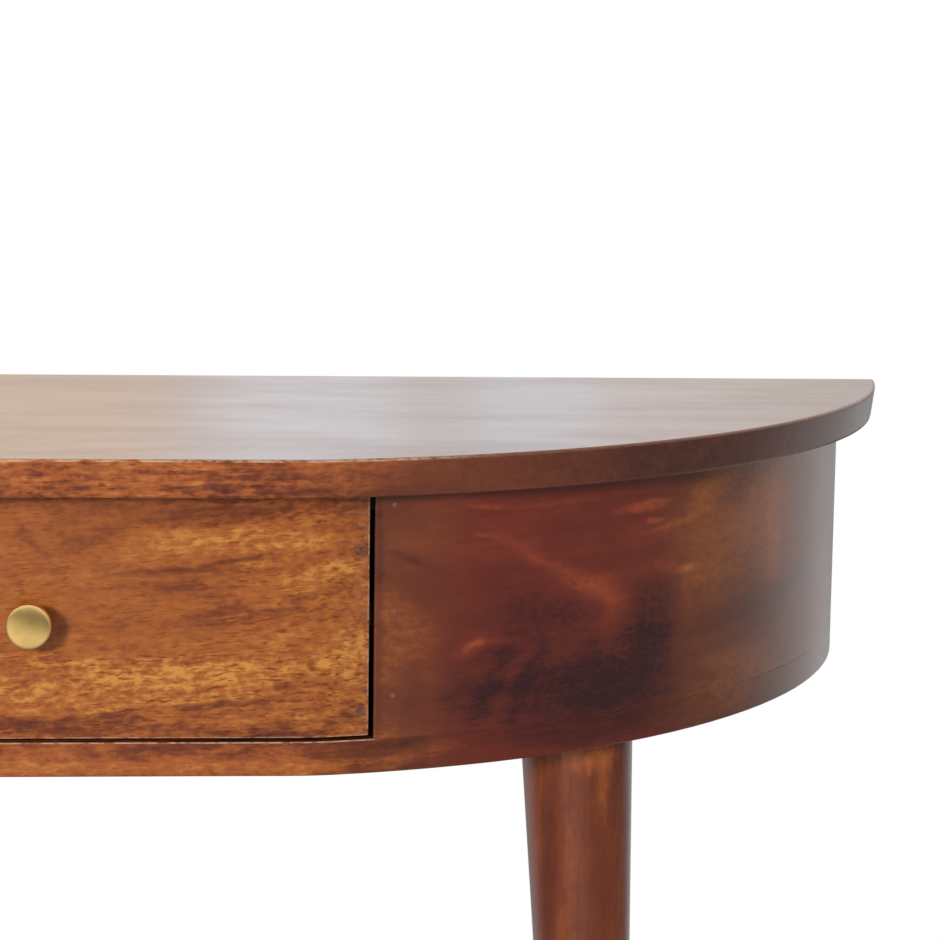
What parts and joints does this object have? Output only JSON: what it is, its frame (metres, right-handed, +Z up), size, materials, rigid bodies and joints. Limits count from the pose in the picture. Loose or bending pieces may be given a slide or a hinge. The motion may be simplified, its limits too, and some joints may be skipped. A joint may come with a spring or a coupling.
{
  "type": "wall-mounted console table",
  "caption": "Half-moon wooden console table that screws to a wall at its back and stands on tapered round front legs, with a drawer and a round brass knob.",
  "frame": {"origin": "on the floor, below the middle of the table's width and depth", "axes": "+Z up, -Y out of the drawer front and into the room, +Y into the wall, +X to the right as seen from the front"},
  "size_m": [0.9994, 0.3597, 0.75],
  "materials": {
    "wood_top": "oiled, satin, chestnut stain",
    "wood_case": "oiled, satin, chestnut stain",
    "wood_drawer_front": "oiled, satin, chestnut stain",
    "wood_leg": "oiled, satin, chestnut stain",
    "wood_inner": "planed, thin coat",
    "plywood": "sanded, thin coat",
    "peg": "end grain, stained dark",
    "putty": "dried wood filler",
    "brass": "satin brushed, lacquered",
    "steel": "zinc plated",
    "glide": "moulded"
  },
  "bodies": {
    "case": {"table_top": "wood_top", "bottom_board": "wood_case", "side_panel_left": "wood_case", "side_panel_right": "wood_case", "partition_left": "wood_inner", "partition_right": "wood_inner", "back_panel": "wood_inner", "front_rail": "wood_inner", "rear_rail": "wood_inner", "side_cleat_left": "wood_inner", "side_cleat_right": "wood_inner", "glue_blocks_left": "wood_inner", "glue_blocks_right": "wood_inner", "leg_block_left": "wood_inner", "leg_block_right": "wood_inner", "runner_left": "wood_inner", "runner_right": "wood_inner", "leg_left": "wood_leg", "leg_right": "wood_leg", "hanger_bolt_left": "steel", "hanger_bolt_right": "steel", "threaded_insert_left": "brass", "threaded_insert_right": "brass", "foot_glide_left": "glide", "foot_glide_right": "glide", "top_screws": "steel", "bottom_screws": "steel", "rear_screws": "steel", "runner_screws": "steel", "leg_block_screws": "steel", "panel_nails_left": "steel", "panel_nails_right": "steel", "nail_putty_left": "putty", "nail_putty_right": "putty"},
    "drawer": {"drawer_front": "wood_drawer_front", "drawer_side_left": "wood_inner", "drawer_side_right": "wood_inner", "drawer_back": "wood_inner", "drawer_bottom": "plywood", "drawer_pegs": "peg", "drawer_back_nails": "steel", "drawer_bottom_screws": "steel", "knob": "brass", "knob_bolt": "steel", "knob_washer": "steel"}
  },
  "joints": [
    {"name": "drawer_slide", "type": "slide", "parent": "case", "child": "drawer", "axis": [0, -1, 0], "range_m": [0, 0.22]}
  ]
}
